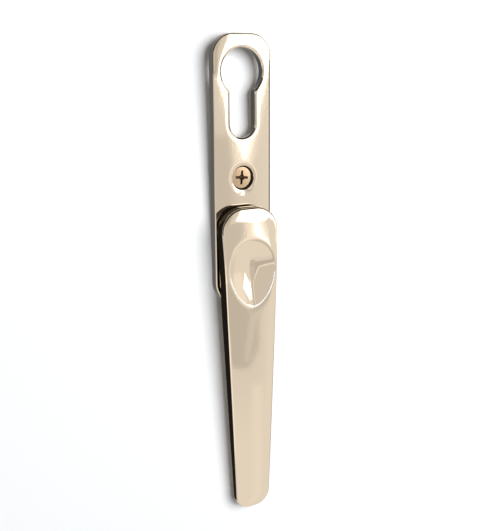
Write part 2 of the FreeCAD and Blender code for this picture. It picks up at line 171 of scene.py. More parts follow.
# Fixing screws
HEAD_RADIUS = 4.4
HEAD_SUNK = 1.0
HEAD_ROUND = 0.3
HEAD_DOME = 0.15
CROSS_REACH = 2.75
CROSS_HALF = 0.48
CROSS_CORE = 1.15
CROSS_DEPTH = 1.9
CROSS_WALL = 0.16
CROSS_RISE = 0.62       # share of the depth by which the floor rises towards the arms' ends
CROSS_EDGE = 0.3
CROSS_TURN = math.radians(5)
SHANK_R = 2.25
SHANK_END = 5.6
CROSS_END = SHANK_END - 3
THREAD_R = 2.5
THREAD_DEPTH = 0.32
THREAD_PITCH = 0.8
THREAD_ROW = 0.08
THREAD_LEAD = 0.8
THREAD_POINT = 0.45
THREAD_SIDES = 48
SCREW_END = 16.0

# Stage, in metres unless said
FLOOR_DROP = 0.045
FLOOR_GLOW = 0.45       # emission strength, not a length
STAGE_HALF = 2.0
BACKDROP_TOP = 0.5
WALL_GAP_MM = 1.0
WALL_LEAN = 0.045

# Camera: left of the handle and a little above it. Degrees, metres, and the lens in mm.
CAMERA_AZIMUTH = -30.16
CAMERA_ELEVATION = 14.15
CAMERA_ROLL = -0.44
CAMERA_DISTANCE = 0.32618
CAMERA_TARGET_MM = (0.53, PLATE_FRONT, -14.0)
CAMERA_LENS = 54.93


# ---------------------------------------------------------------- mesh making

class Patches:
    """Collects surface patches with their own normals and welds them into one mesh."""

    def __init__(self):
        self.points, self.normals, self.faces = [], [], []

    def add(self, points, normals, faces):
        start = sum(len(p) for p in self.points)
        self.points.append(np.asarray(points, float))
        self.normals.append(np.asarray(normals, float))
        self.faces += [tuple(start + i for i in f) for f in faces]

    def build(self, name):
        points = np.vstack(self.points)
        normals = np.vstack(self.normals)
        normals /= np.maximum(np.linalg.norm(normals, axis=1, keepdims=True), 1e-12)
        keys, index = {}, []
        welded = []
        for p in np.round(points, WELD_DIGITS):
            key = tuple(p + 0.0)
            if key not in keys:
                keys[key] = len(welded)
                welded.append(p)
            index.append(keys[key])
        faces, loops = [], []
        for f in self.faces:
            corners = [index[i] for i in f]
            if len(set(corners)) < len(corners):
                continue
            a, b, c = (points[i] for i in f[:3])
            facing = np.cross(b - a, c - a) @ sum(normals[i] for i in f)
            order = f if facing > 0 else f[::-1]
            faces.append([index[i] for i in order])
            loops += [tuple(normals[i]) for i in order]
        mesh = bpy.data.meshes.new(name)
        mesh.from_pydata([Vector(p) * MM for p in welded], [], faces)
        mesh.polygons.foreach_set("use_smooth", [True] * len(mesh.polygons))
        mesh.normals_split_custom_set(loops)
        mesh.update()
        return add_object(name, mesh)


def add_object(name, mesh):
    piece = bpy.data.objects.new(name, mesh)
    bpy.context.scene.collection.objects.link(piece)
    return piece


def fill(boundaries, free, inside):
    """Triangulates points between closed boundaries, keeping the triangles whose middle is inside."""
    points, edges = [], []
    for ring in boundaries:
        start = len(points)
        points += [tuple(p) for p in ring]
        count = len(ring)
        edges += [(start + i, start + (i + 1) % count) for i in range(count)]
    points += [tuple(p) for p in free]
    found = delaunay_2d_cdt([Vector(p) for p in points], edges, [], 0, 1e-6)
    flat = np.array([tuple(v) for v in found[0]])
    faces = np.array([f for f in found[2] if len(f) == 3])
    keep = inside(flat[faces].mean(axis=1))
    return flat, [tuple(f) for f in faces[keep]]


def height_patch(patches, flat, faces, height, front=True):
    """Adds a patch y = height(x, z). Its normals come from the height's own slope."""
    x, z = flat[:, 0], flat[:, 1]
    y = height(x, z)
    slope_x = (height(x + SLOPE_STEP, z) - height(x - SLOPE_STEP, z)) / (2 * SLOPE_STEP)
    slope_z = (height(x, z + SLOPE_STEP) - height(x, z - SLOPE_STEP)) / (2 * SLOPE_STEP)
    side = 1.0 if front else -1.0
    normals = np.column_stack([side * slope_x, np.full(len(x), -side), side * slope_z])
    patches.add(np.column_stack([x, y, z]), normals, faces)


def ribbon(patches, ring, low_y, high_y, outward):
    """A wall along Y on a closed ring, between two depths that may vary along the ring."""
    count = len(ring)
    low = np.broadcast_to(low_y, (count,))
    high = np.broadcast_to(high_y, (count,))
    points = np.vstack([np.column_stack([ring[:, 0], low, ring[:, 1]]),
                        np.column_stack([ring[:, 0], high, ring[:, 1]])])
    normals = np.column_stack([outward[:, 0], np.zeros(count), outward[:, 1]])
    patches.add(points, np.vstack([normals, normals]), tube_faces(count, 1))


def crowned_wall(patches, ring, low_y, high_y, outward, crown, rows=8):
    """A wall along Y that bulges a little between its two edges."""
    count = len(ring)
    points, normals = [], []
    for k in range(rows + 1):
        share = k / rows
        bulge = crown * 4 * share * (1 - share)
        lean = crown * 4 * (1 - 2 * share) / (high_y - low_y)
        points.append(np.column_stack([ring[:, 0] + outward[:, 0] * bulge,
                                       low_y + (high_y - low_y) * share,
                                       ring[:, 1] + outward[:, 1] * bulge]))
        normals.append(np.column_stack([outward[:, 0], -lean, outward[:, 1]]))
    patches.add(np.vstack(points), np.vstack(normals), tube_faces(count, rows))


def lathe(patches, profile, centre_z, segments=96, inward=False):
    """Turns (radius, y) pairs about an axis along Y; each straight run keeps its own normals."""
    angles = np.linspace(0, 2 * math.pi, segments, endpoint=False)
    cos, sin = np.cos(angles), np.sin(angles)
    for (r0, y0), (r1, y1) in zip(profile, profile[1:]):
        run = math.hypot(r1 - r0, y1 - y0)
        radial, along = (y1 - y0) / run, -(r1 - r0) / run
        if inward:
            radial, along = -radial, -along
        points = np.vstack([np.column_stack([r * cos, np.full(segments, y), centre_z + r * sin])
                            for r, y in ((r0, y0), (r1, y1))])
        normal = np.column_stack([radial * cos, np.full(segments, along), radial * sin])
        patches.add(points, np.vstack([normal, normal]), tube_faces(segments, 1))


def tube_faces(count, rows):
    """Quads between rows of count points, each row a closed ring."""
    return [(k * count + i, k * count + (i + 1) % count, (k + 1) * count + (i + 1) % count,
             (k + 1) * count + i) for k in range(rows) for i in range(count)]


def circle(radius, centre_z, spacing):
    """Points on a circle, in the plane of the plate."""
    count = max(24, int(2 * math.pi * radius / spacing))
    angles = np.linspace(0, 2 * math.pi, count, endpoint=False)
    return np.column_stack([radius * np.cos(angles), centre_z + radius * np.sin(angles)])


def grid(low_x, high_x, low_z, high_z, spacing):
    """Points in staggered rows."""
    xs = np.arange(low_x, high_x + spacing, spacing)
    rows = np.arange(low_z, high_z + spacing, spacing * 0.87)
    return np.vstack([np.column_stack([xs + (spacing / 2 if k % 2 else 0), np.full(len(xs), z)])
                      for k, z in enumerate(rows)])


# ---------------------------------------------------------------- profiles of edges

def quarter_round(distance, radius):
    """How far a rounded edge has dropped at a distance in from the edge."""
    inside = np.clip(distance, 0, radius)
    return radius - np.sqrt(np.maximum(radius ** 2 - (radius - inside) ** 2, 0))


def soft_drop(distance, depth, width):
    """A buffed surface falls away gently before an edge."""
    share = np.clip(1 - distance / width, 0, 1)
    return depth * share ** 3


def dish(distance, depth, width):
    """A shallow dish round a hole, its slope growing evenly towards the hole."""
    return depth * np.clip(1 - distance / width, 0, 1) ** 2


def bevel(distance, width, depth):
    """A flat bevel beside an edge."""
    return depth * np.clip(1 - distance / width, 0, 1)


def ramp(distance, reach, slope):
    """A slope that grows smoothly from nothing over a reach, and then goes on."""
    t = distance / reach
    inside = np.clip(t, 0, 1)
    return slope * reach * (inside ** 3 - inside ** 4 / 2 + np.maximum(t - 1, 0))


def smooth_step(share):
    """0 below 0 and 1 above 1, with a smooth rise between."""
    share = np.clip(share, 0, 1)
    return share ** 2 * (3 - 2 * share)


def smooth_min(a, b, blend):
    """The lesser of two distances, rounded off where they cross."""
    share = np.clip(0.5 + 0.5 * (b - a) / blend, 0, 1)
    return b + (a - b) * share - blend * share * (1 - share)


def edge_steps(radius, count, soft_width, soft_count):
    """Distances in from an edge at which a rounded edge and its soft roll-off need points."""
    tight = [radius * (1 - math.sin(math.pi / 2 * i / count)) for i in range(count, -1, -1)]
    wide = [radius + (soft_width - radius) * (i / soft_count) for i in range(1, soft_count + 1)]
    return tight + wide


# ---------------------------------------------------------------- backplate

def plate_ring(inset, spacing=0.5):
    """The plate's rounded rectangle, moved inwards by an inset."""
    corner = PLATE_CORNER - inset
    half = PLATE_HALF - PLATE_CORNER
    top, bottom = PLATE_TOP - PLATE_CORNER, PLATE_BOTTOM + PLATE_CORNER
    points, normals = [], []
    centres = [(half, top), (-half, top), (-half, bottom), (half, bottom)]
    arc_count = max(6, int(math.pi / 2 * PLATE_CORNER / spacing))
    for quarter, (cx, cz) in enumerate(centres):
        for k in range(arc_count + 1):
            angle = math.pi / 2 * (quarter + k / arc_count)
            points.append((cx + corner * math.cos(angle), cz + corner * math.sin(angle)))
            normals.append((math.cos(angle), math.sin(angle)))
        nx, nz = centres[(quarter + 1) % 4]
        angle = math.pi / 2 * (quarter + 1)
        across = (math.cos(angle), math.sin(angle))
        length = math.hypot(nx - cx, nz - cz)
        run_count = int(length / spacing)
        for k in range(1, run_count):
            share = k / run_count
            points.append((cx + (nx - cx) * share + corner * across[0],
                           cz + (nz - cz) * share + corner * across[1]))
            normals.append(across)
    return np.array(points), np.array(normals)


def plate_inset(x, z):
    """Distance in from the plate's outline."""
    half_x = PLATE_HALF - PLATE_CORNER
    mid_z, half_z = (PLATE_TOP + PLATE_BOTTOM) / 2, (PLATE_TOP - PLATE_BOTTOM) / 2 - PLATE_CORNER
    qx, qz = np.abs(x) - half_x, np.abs(z - mid_z) - half_z
    outside = np.hypot(np.maximum(qx, 0), np.maximum(qz, 0))
    return PLATE_CORNER - outside - np.minimum(np.maximum(qx, qz), 0)


def cutout_distance(x, z, blend=NECK_BLEND):
    """Distance out from the euro cut-out: a round head over a round-ended slot."""
    head = np.hypot(x, z - CUT_HEAD_Z) - CUT_HEAD_R
    slot_z = np.clip(z, CUT_FOOT_Z, CUT_HEAD_Z)
    slot = np.hypot(x, z - slot_z) - CUT_SLOT_R
    return smooth_min(head, slot, blend)


def cutout_ring(outset, spacing=0.4):
    """The cut-out's outline, moved outwards by an outset."""
    head_r, slot_r = CUT_HEAD_R + outset, CUT_SLOT_R + outset
    drop = math.sqrt(head_r ** 2 - slot_r ** 2)
    start = math.atan2(-drop, slot_r)
    count = int(head_r * (math.pi - 2 * start) / spacing)
    angles = np.linspace(start, math.pi - start, count)
    points = [(head_r * math.cos(a), CUT_HEAD_Z + head_r * math.sin(a)) for a in angles]
    neck = CUT_HEAD_Z - drop
    count = int((neck - CUT_FOOT_Z) / spacing)
    left = [(-slot_r, neck + (CUT_FOOT_Z - neck) * k / count) for k in range(1, count)]
    foot_count = int(math.pi * slot_r / spacing)
    foot = [(slot_r * math.cos(a), CUT_FOOT_Z + slot_r * math.sin(a))
            for a in np.linspace(math.pi, 2 * math.pi, foot_count)]
    right = [(-x, z) for x, z in reversed(left)]
    return np.array(points + left + foot + right)


def from_screws(x, z):
    """Distance from the nearer screw's axis."""
    return np.minimum(np.hypot(x, z - SCREW_Z), np.hypot(x, z + SCREW_Z))


def plate_height(x, z):
    """Depth of the front face, with its bevels, soft roll-offs, and a dish round each screw."""
    inset = plate_inset(x, z)
    from_cutout = cutout_distance(x, z)
    soft_cutout = cutout_distance(x, z, blend=SOFT_NECK_BLEND)
    left = smooth_step((LEFT_END - x) / SIDE_FADE)
    right = (1 - left) * smooth_step((RIGHT_BEVEL_TOP - z) / SIDE_FADE)
    scale = 1 + (RIGHT_BEVEL_SCALE - 1) * right
    y = PLATE_FRONT + quarter_round(inset, PLATE_ROUND) + scale * bevel(inset / scale, *PLATE_BEVEL)
    y = y + soft_drop(inset, *PLATE_SOFT) * left * smooth_step((z - SOFT_START) / SOFT_FADE)
    y = y + quarter_round(from_cutout, CUT_LIP) + bevel(from_cutout, *CUT_BEVEL)
    y = y + soft_drop(soft_cutout, *CUTOUT_SOFT)
    for centre in SCREW_CENTRES:
        away = np.hypot(x, z - centre) - RECESS_R
        worn = np.clip(CRESCENT_R - np.hypot(x, z - centre + CRESCENT_DOWN), 0, None)
        y = y + quarter_round(away, RECESS_LIP) + dish(away, *RECESS_DISH)
        y = y + CRESCENT_SLOPE * worn ** 2 / (worn + CRESCENT_START)
    return y


def plate_points():
    """Where the face needs points: rings close beside each edge and crease, and a grid between."""
    plate_steps = (edge_steps(PLATE_ROUND, 4, PLATE_RINGS, 7)[1:]
                   + [k * PLATE_BEVEL[0] + d for k in (1, RIGHT_BEVEL_SCALE) for d in (-CREASE, CREASE)])
    cutout_steps = (edge_steps(CUT_LIP, 3, CUTOUT_RINGS, 7)[1:]
                    + [CUT_BEVEL[0] - CREASE, CUT_BEVEL[0] + CREASE])
    rings_end = PLATE_RINGS + 0.2
    free = [plate_ring(d)[0] for d in plate_steps]
    for d in cutout_steps:
        ring = cutout_ring(d)
        free.append(ring[plate_inset(ring[:, 0], ring[:, 1]) > rings_end])
    for d in edge_steps(RECESS_LIP, 3, RECESS_RINGS, 5)[1:]:
        free += [circle(RECESS_R + d, centre, 0.4) for centre in SCREW_CENTRES]
    inner = grid(-PLATE_HALF, PLATE_HALF, PLATE_BOTTOM, PLATE_TOP, 0.7)
    x, z = inner[:, 0], inner[:, 1]
    clear = ((plate_inset(x, z) > PLATE_RINGS + 0.3) & (cutout_distance(x, z) > CUTOUT_RINGS + 0.2)
             & (from_screws(x, z) > RECESS_R + RECESS_RINGS + 0.3)
             & (np.hypot(x, z) > BUSH_BORE_R + 0.4))
    free.append(inner[clear])
    narrow = np.vstack([cutout_ring(d) for d in cutout_steps])
    near_edge = plate_inset(narrow[:, 0], narrow[:, 1])
    free.append(narrow[(near_edge > 2 * PLATE_BEVEL[0] + 0.2) & (near_edge <= rings_end)])
    free = np.vstack(free)
    x, z = free[:, 0], free[:, 1]
    return free[(cutout_distance(x, z) > 1e-3) & (plate_inset(x, z) > 1e-3)
                & (np.hypot(x, z) > BUSH_BORE_R + 0.05)]


def on_plate(p):
    """Which points lie on the plate's face, outside its holes."""
    x, z = p[:, 0], p[:, 1]
    return ((plate_inset(x, z) > 0) & (cutout_distance(x, z, EXACT) > 0)
            & (from_screws(x, z) > RECESS_R * 0.999) & (np.hypot(x, z) > BUSH_BORE_R * 0.999))


def toward_cutout(ring):
    """Unit normals of the cut-out's wall, towards the hole."""
    x, z = ring[:, 0], ring[:, 1]
    normals = -np.column_stack([
        cutout_distance(x + SLOPE_STEP, z, EXACT) - cutout_distance(x - SLOPE_STEP, z, EXACT),
        cutout_distance(x, z + SLOPE_STEP, EXACT) - cutout_distance(x, z - SLOPE_STEP, EXACT)])
    return normals / np.linalg.norm(normals, axis=1, keepdims=True)


def make_plate():
    """The plate's face, its outer edge, the cut-out's wall and the seats of the screws."""
    outer, outward = plate_ring(0)
    cutout = cutout_ring(0)
    recesses = [circle(RECESS_R, centre, 0.35) for centre in SCREW_CENTRES]
    bore = circle(BUSH_BORE_R, 0, 0.6)
    face = Patches()
    flat, faces = fill([outer, cutout, *recesses, bore], plate_points(), on_plate)
    height_patch(face, flat, faces, plate_height)
    edge = Patches()
    ribbon(edge, outer, plate_height(outer[:, 0], outer[:, 1]), 0.0, outward)
    wall = Patches()
    ribbon(wall, cutout, plate_height(cutout[:, 0], cutout[:, 1]), 0.0, toward_cutout(cutout))
    seats = Patches()
    floor = PLATE_FRONT + RECESS_DEPTH
    cone_r = RECESS_R - RECESS_LEDGE
    for centre, ring in zip(SCREW_CENTRES, recesses):
        inward = (np.array([0, centre]) - ring) / RECESS_R
        ribbon(seats, ring, plate_height(ring[:, 0], ring[:, 1]), floor, inward)
        lathe(seats, [(RECESS_R, floor), (cone_r, floor), (SCREW_HOLE_R, floor + cone_r - SCREW_HOLE_R),
                      (SCREW_HOLE_R, PEG_END)], centre, len(ring), inward=True)
    return (face.build("backplate_face"), edge.build("backplate_edge"),
            wall.build("cutout_wall"), seats.build("screw_seats"))


def copy_of_node(node, name, keep):
    """A new mesh from the faces of a CAD node that pass a test on their corners in mm."""
    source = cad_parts[node].data
    co = np.array([v.co for v in source.vertices]) / MM
    faces = [tuple(p.vertices) for p in source.polygons if keep(co[list(p.vertices)])]
    used = sorted({i for f in faces for i in f})
    renumber = {old: new for new, old in enumerate(used)}
    mesh = bpy.data.meshes.new(name)
    mesh.from_pydata([Vector(co[i]) * MM for i in used], [],
                     [tuple(renumber[i] for i in f) for f in faces])
    mesh.polygons.foreach_set("use_smooth", [True] * len(mesh.polygons))
    piece = add_object(name, mesh)
    mesh.set_sharp_from_angle(angle=math.radians(28))
    return piece


def plate_rear_face(corners):
    """Whether a CAD face of the plate is behind its front or in the bush's bore."""
    behind = corners[:, 1].min() > -1e-3
    in_bore = np.hypot(corners[:, 0], corners[:, 2]).max() < BUSH_BORE_R + 0.01
    in_screw_hole = any(np.hypot(corners[:, 0], corners[:, 2] - centre).max()
                        < SCREW_HOLE_R + 0.01 for centre in SCREW_CENTRES)
    return (behind or in_bore) and not in_screw_hole


# ---------------------------------------------------------------- lever

LEVER_CIRCLES = np.array([[-HEAD_X, LEVER_TOP - HEAD_R, HEAD_R], [HEAD_X, LEVER_TOP - HEAD_R, HEAD_R],
                          [-TIP_X, LEVER_TIP + TIP_R + TIP_BOW, TIP_R],
                          [TIP_X, LEVER_TIP + TIP_R + TIP_BOW, TIP_R]])


def lever_ring(inset, spacing=0.5):
    """The lever's outline, the hull of two head circles and two tip circles, moved inwards."""
    points, normals = [], []
    count = 720
    last = None
    for k in range(count + 1):
        angle = 2 * math.pi * k / count
        n = np.array([math.cos(angle), math.sin(angle)])
        reach = LEVER_CIRCLES[:, :2] @ n + LEVER_CIRCLES[:, 2]
        best = int(np.argmax(reach))
        radius = LEVER_CIRCLES[best, 2] - inset
        p = LEVER_CIRCLES[best, :2] + radius * n
        if last is not None:
            gap = float(np.hypot(*(p - last[0])))
            if gap < spacing * 0.999 and best == last[2] and k < count:
                continue
            if best != last[2]:
                steps = max(1, int(gap / spacing))
                for i in range(1, steps):
                    share = i / steps
                    points.append(last[0] * (1 - share) + p * share)
                    normals.append(last[1] * (1 - share) + n * share)
        if k < count:
            points.append(p)
            normals.append(n)
        last = (p, n, best)
    points = np.array(points)
    normals = np.array(normals)
    normals /= np.linalg.norm(normals, axis=1, keepdims=True)
    points[:, 1] -= tip_bow(points[:, 0], points[:, 1])
    return points, normals


def tip_bow(x, z):
    """How far the lever's lower end bows down from the hull of its circles."""
    near_tip = np.clip((LEVER_TIP + TIP_BOW_REACH - z) / TIP_BOW_REACH, 0, 1)
    return TIP_BOW * near_tip ** 2 * np.clip(1 - (x / TIP_BOW_HALF) ** 2, 0, 1)


HULL_ANGLES = np.linspace(0, 2 * math.pi, 1440, endpoint=False)
HULL_NORMALS = np.column_stack([np.cos(HULL_ANGLES), np.sin(HULL_ANGLES)])
HULL_REACH = (LEVER_CIRCLES[:, :2] @ HULL_NORMALS.T + LEVER_CIRCLES[:, 2:3]).max(axis=0)


def lever_inset(x, z):
    """Distance in from the lever's outline."""
    straight = z
    for _ in range(4):
        straight = z + tip_bow(x, straight)
    best = np.full(np.shape(x), np.inf)
    for n, reach in zip(HULL_NORMALS, HULL_REACH):
        np.minimum(best, reach - x * n[0] - straight * n[1], out=best)
    return best


def dimple_rho(x, z):
    """0 at the middle of the thumb dimple and 1 on its egg-shaped rim."""
    dx, dz = (x - DIMPLE_X) / DIMPLE_HALF, z - DIMPLE_Z
    up = np.hypot(dx, dz / DIMPLE_UP)
    power = np.where(dx < 0, *DIMPLE_POWERS)
    down = (np.abs(dx) ** power + np.abs(dz / DIMPLE_DOWN) ** power) ** (1 / power)
    return np.where(dz > 0, up, down)


def dimple_ring(share, count=150):
    """Points at which dimple_rho is the given share."""
    points = []
    for k in range(count):
        angle = 2 * math.pi * k / count
        direction = np.array([math.cos(angle) * DIMPLE_HALF,
                              math.sin(angle) * (DIMPLE_UP if math.sin(angle) > 0 else DIMPLE_DOWN)])
        rho = float(dimple_rho(DIMPLE_X + direction[0], DIMPLE_Z + direction[1]))
        points.append((DIMPLE_X + direction[0] * share / rho, DIMPLE_Z + direction[1] * share / rho))
    return np.array(points)


def lever_face(x, z):
    """Front face: flat below, rolling away over the head, with the thumb dimple sunk into it."""
    inset = lever_inset(x, z)
    y = LEVER_FRONT + quarter_round(inset, LEVER_ROUND) + bevel(inset, *LEVER_BEVEL)
    y = y + soft_drop(inset, *SIDE_SOFT)
    y = y + ramp(z - HEAD_RAMP_START, *HEAD_RAMP)
    y = y + HEAD_ROLL[1] * np.maximum(z - HEAD_ROLL[0], 0) ** 2
    y = y + ramp(z - HEAD_KNEE_START, *HEAD_KNEE)
    bowl = DIMPLE_DEPTH * (1 - dimple_rho(x, z) ** 2)
    return y + LEVER_LEAN * x + (bowl + np.hypot(bowl, 2 * RIM_BLEND)) / 2


def lever_back(x, z):
    """Back of the lever: flat behind the head, then rising so that the lever thins to its tip."""
    inset = lever_inset(x, z)
    rise = TAPER_RISE * np.clip((TAPER_START - z) / (TAPER_START - LEVER_TIP), 0, 1)
    return LEVER_BACK - rise - quarter_round(inset, LEVER_BACK_ROUND)


def on_lever(p):
    return lever_inset(p[:, 0], p[:, 1]) > 0


def lever_patch(patches, outline, free, height, front):
    """Fills the lever's outline with one face. Points on the outline itself are left out of free."""
    free = np.vstack(free)
    free = free[lever_inset(free[:, 0], free[:, 1]) > 1e-3]
    flat, faces = fill([outline], free, on_lever)
    height_patch(patches, flat, faces, height, front)


def make_lever():
    """The casting, its front and back faces joined by a side wall."""
    patches = Patches()
    outer, outward = lever_ring(0)
    free = [lever_ring(d)[0] for d in edge_steps(LEVER_ROUND, 6, LEVER_RINGS, 7)[1:]]
    free += [dimple_ring(share) for share in RIM_SHARES]
    free += [dimple_ring(share, max(24, int(150 * share))) for share in BOWL_SHARES]
    inner = grid(-LEVER_GRID_HALF, LEVER_GRID_HALF, LEVER_TIP, LEVER_TOP, 0.75)
    x, z = inner[:, 0], inner[:, 1]
    free.append(inner[(lever_inset(x, z) > LEVER_RINGS + 0.3)
                      & (dimple_rho(x, z) > RIM_SHARES[0] + 0.02)])
    lever_patch(patches, outer, free, lever_face, front=True)

    free = [lever_ring(d)[0] for d in edge_steps(LEVER_BACK_ROUND, 4, BACK_RINGS, 2)[1:]]
    inner = grid(-LEVER_GRID_HALF, LEVER_GRID_HALF, LEVER_TIP, LEVER_TOP, 2.0)
    free.append(inner[lever_inset(inner[:, 0], inner[:, 1]) > BACK_RINGS + 0.5])
    lever_patch(patches, outer, free, lever_back, front=False)

    x, z = outer[:, 0], outer[:, 1]
    crowned_wall(patches, outer, lever_face(x, z), lever_back(x, z), outward, SIDE_CROWN)
    return patches.build("lever_casting")


def finish_lever(lever):
    """Gold, then a painted highlight on the dimple's lower rim as slot 1 and a painted shade on the disc
    behind the hub as slot 2.
    """
    x, y, z = (np.array([tuple(f.center) for f in lever.data.polygons]) / MM).T
    # The faces along the dimple's lower rim get a near-white painted highlight.
    rim = np.abs(dimple_rho(x, z) - 1) < RIM_HIGHLIGHT_BAND
    rim &= (y < LEVER_FRONT + RIM_HIGHLIGHT_DEPTH) & (z < RIM_HIGHLIGHT_TOP)
    # The back faces behind the hub get a near-black painted shade, which darkens the gap under the
    # lever.
    shaded_back = (y > LEVER_BACK - BACK_SHADE_DEPTH) & (np.hypot(x, z) < BACK_SHADE_R)
    for finish in ("polished_gold", "painted_rim_highlight", "painted_back_shade"):
        lever.data.materials.append(finishes[finish])
    lever.data.polygons.foreach_set("material_index", (rim + 2 * shaded_back).astype(int).tolist())


def hub_face(corners):
    """Whether a CAD face of the lever belongs to the hub on its back."""
    return (np.hypot(corners[:, 0], corners[:, 2]).max() < HUB_R
            and corners[:, 1].min() > LEVER_BACK - 2.0)


# ---------------------------------------------------------------- fixing screws

def cross_depth(x, z):
    """Depth of the cross recess, deepest in the middle, with slightly sloping walls."""
    cos, sin = math.cos(CROSS_TURN), math.sin(CROSS_TURN)
    u, v = np.abs(x * cos - z * sin), np.abs(x * sin + z * cos)
    arms = np.minimum(np.maximum(u - CROSS_REACH, v - CROSS_HALF),
                      np.maximum(v - CROSS_REACH, u - CROSS_HALF))
    core = (u + v) / math.sqrt(2) - CROSS_CORE
    inside = np.clip(-np.minimum(arms, core) / CROSS_WALL, 0, 1)
    floor = CROSS_DEPTH * (1 - CROSS_RISE * np.clip(np.hypot(u, v) / CROSS_REACH, 0, 1))
    return floor * inside


def screw_face(x, z):
    """Slightly domed head with a rounded rim and the cross sunk into it."""
    radius = np.hypot(x, z)
    dome = HEAD_DOME * (radius / HEAD_RADIUS) ** 2
    return (PLATE_FRONT + HEAD_SUNK + dome + cross_depth(x, z)
            + quarter_round(HEAD_RADIUS - radius, HEAD_ROUND))


def add_thread(patches, centre_z, start):
    """A spiral ridge that grows from the shank and tapers at the screw's end."""
    rows = np.arange(start, SCREW_END, THREAD_ROW)
    turns = np.linspace(0, 1, THREAD_SIDES, endpoint=False)
    y, turn = np.meshgrid(rows, turns, indexing="ij")
    ridge = 1 - np.abs(2 * ((y / THREAD_PITCH - turn) % 1) - 1)
    tip = np.clip((SCREW_END - y) / THREAD_LEAD, 0, 1)
    lead = np.clip((y - start) / THREAD_LEAD, 0, 1)
    r = THREAD_R - THREAD_DEPTH + THREAD_DEPTH * ridge * tip * lead - THREAD_POINT * (1 - tip)
    points = np.column_stack([(r * np.cos(2 * math.pi * turn)).ravel(), y.ravel(),
                              centre_z + (r * np.sin(2 * math.pi * turn)).ravel()])
    normals = np.column_stack([np.cos(2 * math.pi * turn).ravel(),
                               -np.gradient(r, rows, axis=0).ravel(),
                               np.sin(2 * math.pi * turn).ravel()])
    patches.add(points, normals, tube_faces(THREAD_SIDES, len(rows) - 1))
    end_r, end_y = float(r[-1, 0]), float(rows[-1])
    lathe(patches, [(end_r, end_y), (0.01, end_y)], centre_z, THREAD_SIDES)


def make_screw(name, centre_z):
    """Countersunk screw: face with its cross, cone, shank and thread."""
    patches = Patches()
    rim = circle(HEAD_RADIUS, 0, 0.3)
    free = [circle(HEAD_RADIUS - d, 0, 0.3) for d in edge_steps(HEAD_ROUND, 4, 0.8, 2)[1:]]
    inner = grid(-HEAD_RADIUS, HEAD_RADIUS, -HEAD_RADIUS, HEAD_RADIUS, 0.11)
    free.append(inner[np.hypot(inner[:, 0], inner[:, 1]) < HEAD_RADIUS - 0.9])
    flat, faces = fill([rim], np.vstack(free), lambda p: np.hypot(p[:, 0], p[:, 1]) < HEAD_RADIUS)
    height_patch(patches, flat, faces, screw_face)
    patches.points[0][:, 2] += centre_z     # the face was made about the origin
    rim_y = float(screw_face(np.array([HEAD_RADIUS]), np.array([0.0]))[0])
    cone_end = rim_y + HEAD_RADIUS - SHANK_R
    start = SHANK_END + THREAD_R - SHANK_R
    lathe(patches, [(HEAD_RADIUS, rim_y), (SHANK_R, cone_end), (SHANK_R, SHANK_END),
                    (THREAD_R - THREAD_DEPTH, start)], centre_z, THREAD_SIDES)
    add_thread(patches, centre_z, start)
    return patches.build(name)


def finish_screw(screw, centre_z):
    """Brass, with the faces inside the cross in a dark brown painted shade, as a second slot."""
    screw.data.materials.append(finishes["brass_screw"])
    screw.data.materials.append(finishes["painted_cross_shade"])
    for face in screw.data.polygons:
        across = math.hypot(face.center.x, face.center.z - centre_z * MM) / MM
        deep = PLATE_FRONT + HEAD_SUNK + CROSS_EDGE < face.center.y / MM < CROSS_END
        face.material_index = int(deep and across < CROSS_REACH + CROSS_EDGE)


# ---------------------------------------------------------------- materials

def material(name, colour, metallic, roughness, rough_spread=0.0, rough_scale=60.0,
             bump=0.0, bump_scale=400.0, tint=0.0, tint_scale=20.0):
    """Metal or plastic whose roughness, colour and fine surface come from noise in the piece."""
    made = bpy.data.materials.new(name)
    made.use_nodes = True
    nodes, links = made.node_tree.nodes, made.node_tree.links
    shader = nodes["Principled BSDF"]
    shader.inputs["Base Color"].default_value = (*colour, 1)
    shader.inputs["Metallic"].default_value = metallic
    shader.inputs["Roughness"].default_value = roughness
    where = nodes.new("ShaderNodeTexCoord").outputs["Object"]

    def noise(scale, detail=3.0):
        texture = nodes.new("ShaderNodeTexNoise")
        texture.inputs["Scale"].default_value = scale
        texture.inputs["Detail"].default_value = detail
        links.new(where, texture.inputs["Vector"])
        return texture.outputs["Fac"]

    if rough_spread:
        spread = nodes.new("ShaderNodeMapRange")
        spread.inputs["To Min"].default_value = max(roughness - rough_spread, 0.0)
        spread.inputs["To Max"].default_value = roughness + rough_spread
        links.new(noise(rough_scale), spread.inputs["Value"])
        links.new(spread.outputs["Result"], shader.inputs["Roughness"])
    if tint:
        mix = nodes.new("ShaderNodeMix")
        mix.data_type = "RGBA"
        mix.inputs["A"].default_value = (*[c * (1 - tint) for c in colour], 1)
        mix.inputs["B"].default_value = (*[min(c * (1 + tint), 1) for c in colour], 1)
        links.new(noise(tint_scale), mix.inputs["Factor"])
        links.new(mix.outputs["Result"], shader.inputs["Base Color"])
    if bump:
        bumps = nodes.new("ShaderNodeBump")
        bumps.inputs["Strength"].default_value = bump
        bumps.inputs["Distance"].default_value = 0.0001
        links.new(noise(bump_scale, 2.0), bumps.inputs["Height"])
        links.new(bumps.outputs["Normal"], shader.inputs["Normal"])
    return made


# ---------------------------------------------------------------- stage, light and camera

def direction(azimuth, elevation):
    """Unit vector from the handle: azimuth 0 is straight out of its face, positive to the right."""
    a, e = math.radians(azimuth), math.radians(elevation)
    return Vector((math.sin(a) * math.cos(e), -math.cos(a) * math.cos(e), math.sin(e)))


def box(low_az, high_az, low_el, high_el):
    """Corners of an upright panel."""
    return [(low_az, low_el), (high_az, low_el), (high_az, high_el), (low_az, high_el)]


